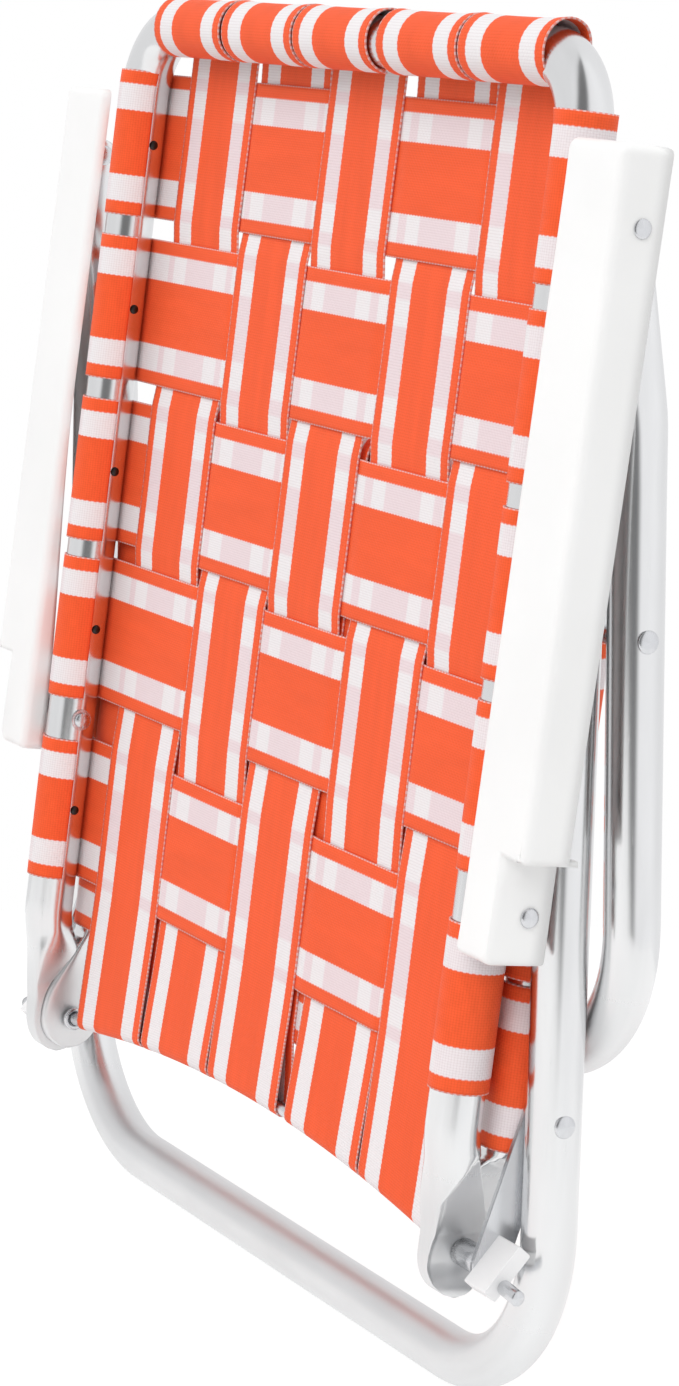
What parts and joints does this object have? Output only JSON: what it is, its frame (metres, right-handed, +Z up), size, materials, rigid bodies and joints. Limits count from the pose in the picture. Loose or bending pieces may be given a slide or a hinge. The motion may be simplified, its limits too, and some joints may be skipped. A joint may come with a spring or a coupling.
{
  "type": "folding lawn chair",
  "caption": "Folding lawn chair, shown folded: bent aluminium tube frames hinged on a rod and swing links, with woven striped webbing and moulded arms.",
  "frame": {"origin": "middle of the folded chair's footprint, on the floor under the rear leg's foot bar", "axes": "+X across the chair to its right as seen from behind the back, +Y from the back towards the folded seat and legs, +Z up along the back"},
  "size_m": [0.5838, 0.0926, 0.6262],
  "materials": {
    "aluminium": "polished",
    "steel": "zinc plated",
    "arm_plastic": "satin moulded",
    "webbing": "woven plastic tape with two white stripes"
  },
  "bodies": {
    "front_leg": {"front_leg": "aluminium", "leg_pin_left": "steel", "leg_pin_right": "steel", "seat_bolt_left": "steel", "seat_bolt_right": "steel", "seat_spacer_left": "steel", "seat_spacer_right": "steel"},
    "seat": {"seat_frame": "aluminium", "hinge_rod": "steel", "rod_spacer_left": "steel", "rod_spacer_right": "steel", "seat_cross_web_1": "webbing", "seat_cross_web_2": "webbing", "seat_cross_web_3": "webbing", "seat_long_web_1": "webbing", "seat_long_web_2": "webbing", "seat_long_web_3": "webbing", "seat_long_web_4": "webbing", "seat_long_web_5": "webbing"},
    "back": {"back_frame": "aluminium", "arm_bolt_left": "steel", "arm_bolt_right": "steel", "arm_spacer_left": "steel", "arm_spacer_right": "steel", "back_cross_web_1": "webbing", "back_cross_web_2": "webbing", "back_cross_web_3": "webbing", "back_cross_web_4": "webbing", "back_cross_web_5": "webbing", "back_long_web_1": "webbing", "back_long_web_2": "webbing", "back_long_web_3": "webbing", "back_long_web_4": "webbing", "back_long_web_5": "webbing"},
    "arm_left": {"arm_left": "arm_plastic", "arm_rivet_left": "steel"},
    "arm_right": {"arm_right": "arm_plastic", "arm_rivet_right": "steel"},
    "rear_leg": {"rear_leg": "aluminium", "leg_rivet_left": "steel", "leg_rivet_right": "steel"},
    "link_left": {"swing_link_left": "steel", "link_rivet_left": "steel"},
    "link_right": {"swing_link_right": "steel", "link_rivet_right": "steel"}
  },
  "joints": [
    {"name": "fold", "type": "hinge", "parent": "front_leg", "child": "seat", "pos_m": [0, 0.00556, 0.3653], "axis": [-1, 0, 0], "range_deg": [0, 82.3]},
    {"name": "back_hinge", "type": "hinge", "parent": "seat", "child": "back", "pos_m": [0, -0.00994, 0.0783], "axis": [1, 0, 0], "range_deg": [0, 92.81]},
    {"name": "arm_left_pivot", "type": "hinge", "parent": "back", "child": "arm_left", "pos_m": [-0.268, -0.02594, 0.2423], "axis": [-1, 0, 0], "range_deg": [0, 93.17]},
    {"name": "arm_right_pivot", "type": "hinge", "parent": "back", "child": "arm_right", "pos_m": [0.268, -0.02594, 0.2423], "axis": [-1, 0, 0], "range_deg": [0, 93.17]},
    {"name": "rear_leg_pivot", "type": "hinge", "parent": "rear_leg", "child": "front_leg", "pos_m": [0, -0.02944, 0.5423], "axis": [1, 0, 0], "range_deg": [0, 51.66]},
    {"name": "link_left_pivot", "type": "hinge", "parent": "seat", "child": "link_left", "pos_m": [-0.2415, -0.00994, 0.0783], "axis": [-1, 0, 0], "range_deg": [0, 107.33]},
    {"name": "link_right_pivot", "type": "hinge", "parent": "seat", "child": "link_right", "pos_m": [0.2415, -0.00994, 0.0783], "axis": [-1, 0, 0], "range_deg": [0, 107.33]}
  ],
  "couplings": [
    {"joint": "back_hinge", "follows": "fold", "ratio": 1.1275},
    {"joint": "arm_left_pivot", "follows": "fold", "ratio": 1.132},
    {"joint": "arm_right_pivot", "follows": "fold", "ratio": 1.132},
    {"joint": "rear_leg_pivot", "follows": "fold", "ratio": 0.62756},
    {"joint": "link_left_pivot", "follows": "fold", "ratio": 1.304},
    {"joint": "link_right_pivot", "follows": "fold", "ratio": 1.304}
  ]
}
